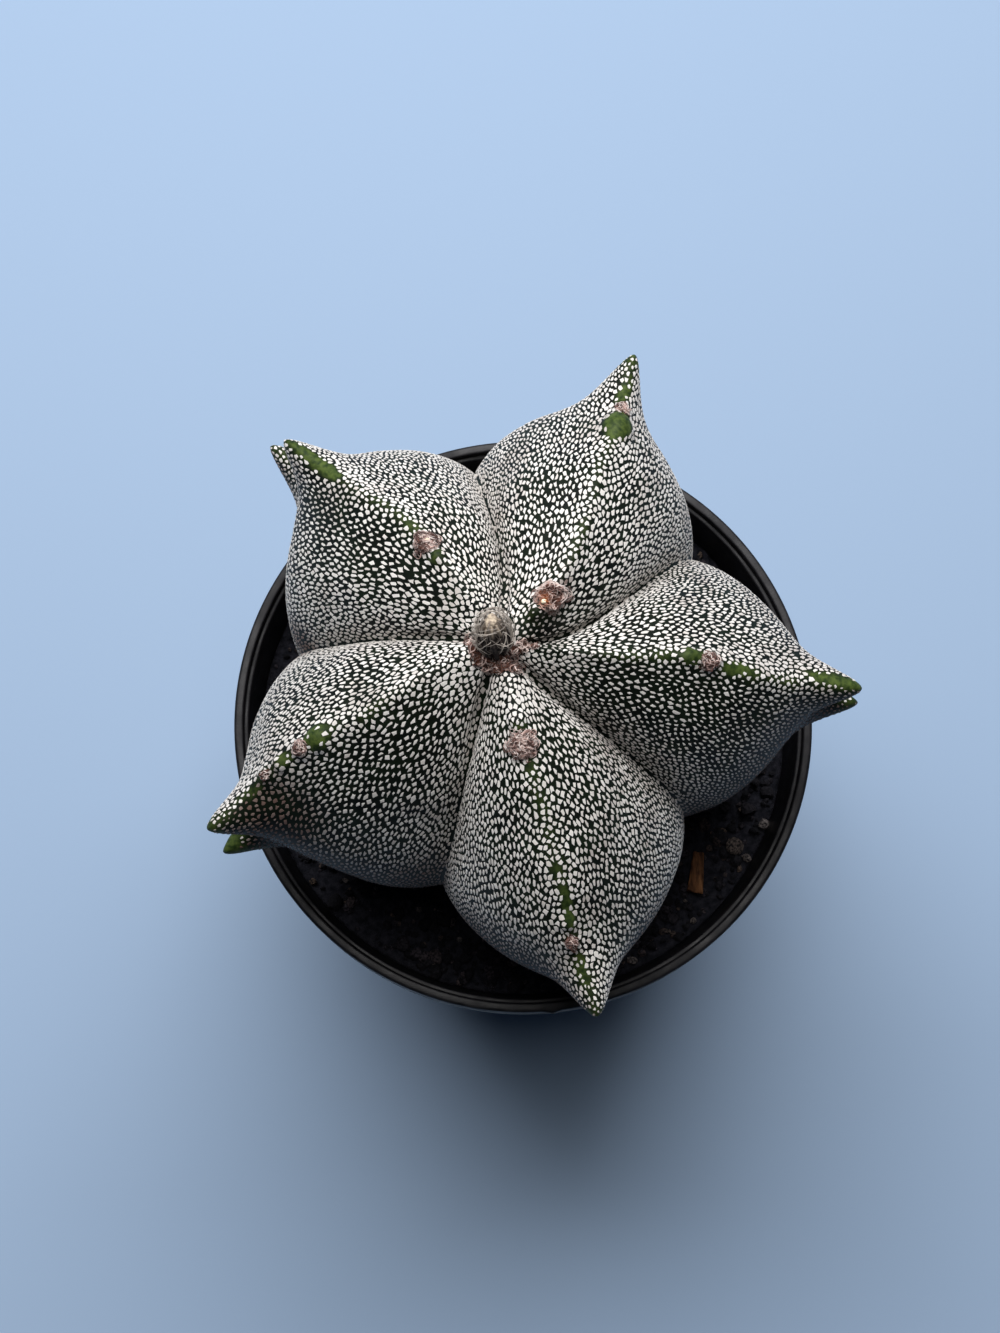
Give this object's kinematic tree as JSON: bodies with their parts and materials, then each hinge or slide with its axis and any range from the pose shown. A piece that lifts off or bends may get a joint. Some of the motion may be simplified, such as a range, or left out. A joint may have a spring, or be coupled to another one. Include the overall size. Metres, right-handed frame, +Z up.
{
  "type": "potted bishop's cap cactus",
  "caption": "Star-shaped spineless cactus with felt-flecked ribs, spurred shoulders and a dried flower, rooted in gritty mix in a black plastic nursery pot",
  "frame": {"origin": "the centre of the pot's base, on the surface that the pot stands on", "axes": "+Z is up, along the pot's axis; +X is the picture's right and +Y its top"},
  "size_m": [0.0781, 0.0798, 0.1127],
  "materials": {
    "pot_plastic": "satin",
    "potting_mix": "matte",
    "cactus_skin": "matte",
    "dried_petals": "matte",
    "bark": "matte"
  },
  "bodies": {
    "root": {"pot": "pot_plastic", "soil": "potting_mix", "cactus": "cactus_skin", "dried_flower": "dried_petals", "bark_chip": "bark"}
  },
  "joints": []
}
